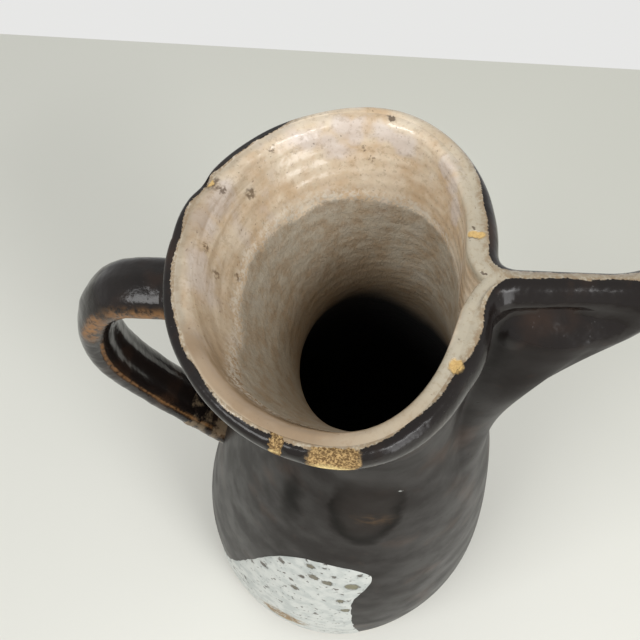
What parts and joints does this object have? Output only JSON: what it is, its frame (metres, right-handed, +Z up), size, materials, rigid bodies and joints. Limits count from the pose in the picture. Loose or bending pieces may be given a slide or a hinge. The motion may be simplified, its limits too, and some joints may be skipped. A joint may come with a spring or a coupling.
{
  "type": "pitcher",
  "caption": "Glazed earthenware jug with a wide funnel mouth, a narrow throat, a beak spout pinched shut along its top, and a pulled strap handle.",
  "frame": {"origin": "on the thrown pot's axis, in the plane of its flat foot", "axes": "+Z up along the pot's axis, +X toward the beak spout, the handle at -X"},
  "size_m": [0.155, 0.1262, 0.257],
  "materials": {
    "dark_glaze": "glossy dark brown glaze",
    "cream_glaze": "glossy cream glaze",
    "white_glaze": "pitted white glaze",
    "handle_glaze": "glossy dark brown glaze, worn on the ridges"
  },
  "bodies": {
    "root": {"pot": "dark_glaze", "cream_lining": "cream_glaze", "white_patch": "white_glaze", "handle_strap": "handle_glaze", "handle_top_lute": "handle_glaze", "handle_root_lute": "handle_glaze"}
  },
  "joints": []
}
